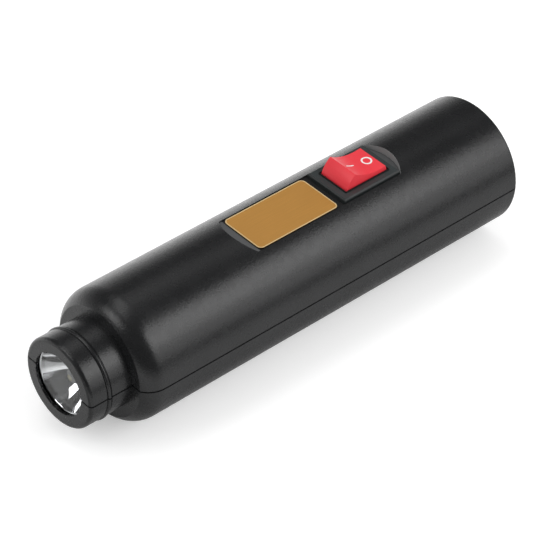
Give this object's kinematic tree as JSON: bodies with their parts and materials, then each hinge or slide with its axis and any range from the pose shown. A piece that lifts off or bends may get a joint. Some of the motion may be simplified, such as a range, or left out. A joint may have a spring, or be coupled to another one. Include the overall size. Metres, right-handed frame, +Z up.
{
  "type": "egg candler",
  "caption": "Battery egg candler: black two-shell torch body with a narrow light nose, reflector and lens, rocker switch and name plate in a top flat, and a cell bay with an underside door.",
  "frame": {"origin": "on the surface it lies on, under the middle of its length", "axes": "+X from the nose to the tail along the barrel, +Y to the right seen from the tail with the switch up, +Z up through the switch"},
  "size_m": [0.151, 0.038, 0.0414],
  "materials": {
    "case_plastic": "satin black moulded ABS with a fine grain",
    "screw_steel": "zinc-plated self-tapping screws",
    "lens_clear": "clear polycarbonate disc",
    "reflector_chrome": "vacuum-metallised bowl",
    "led_dome": "clear resin dome over a yellow phosphor",
    "board_green": "green solder mask",
    "resistor_body": "black chip resistor",
    "plate_gold": "satin gold lacquer on thin metal",
    "switch_black": "black moulded nylon",
    "rocker_red": "semi-gloss red plastic with white on and off marks",
    "plunger_nylon": "natural nylon",
    "spring_steel": "nickel-plated spring wire",
    "lever_brass": "plain brass strip",
    "terminal_tin": "tinned brass blades",
    "carrier_plastic": "natural moulded plastic",
    "cell_can": null,
    "contact_plate": "nickel-plated steel",
    "lead_black": "black insulated wire",
    "lead_red": "red insulated wire"
  },
  "bodies": {
    "case": {"upper_shell": "case_plastic", "lower_shell": "case_plastic", "case_screws": "screw_steel", "lens": "lens_clear", "reflector": "reflector_chrome", "led_emitter": "led_dome", "led_board": "board_green", "led_resistor": "resistor_body", "label_plate": "plate_gold", "switch_housing": "switch_black", "spring_left": "spring_steel", "spring_right": "spring_steel", "spring_lower": "spring_steel", "centre_terminal": "terminal_tin", "side_terminal": "terminal_tin", "front_carrier": "carrier_plastic", "rear_carrier": "carrier_plastic", "cell_left": "cell_can", "cell_right": "cell_can", "cell_lower": "cell_can", "front_link_plate": "contact_plate", "front_single_plate": "contact_plate", "rear_link_plate": "contact_plate", "rear_single_plate": "contact_plate", "return_lead": "lead_black", "rear_lead": "lead_black", "front_lead": "lead_red"},
    "rocker": {"rocker": "rocker_red", "rocker_plunger": "plunger_nylon", "plunger_spring": "spring_steel"},
    "lever": {"contact_lever": "lever_brass"},
    "door": {"battery_door": "case_plastic"}
  },
  "joints": [
    {"name": "rocker_tilt", "type": "hinge", "parent": "case", "child": "rocker", "pos_m": [0.0277, 0, 0.03528], "axis": [0, 1, 0], "range_deg": [-26, 0]},
    {"name": "lever_tilt", "type": "hinge", "parent": "case", "child": "lever", "pos_m": [0.0277, 0, 0.02747], "axis": [0, 1, 0], "range_deg": [0, 12]},
    {"name": "door_lift", "type": "slide", "parent": "case", "child": "door", "axis": [0, 0, -1], "range_m": [0, 0.03]}
  ],
  "couplings": [
    {"joint": "lever_tilt", "follows": "rocker_tilt", "ratio": -0.4615}
  ]
}
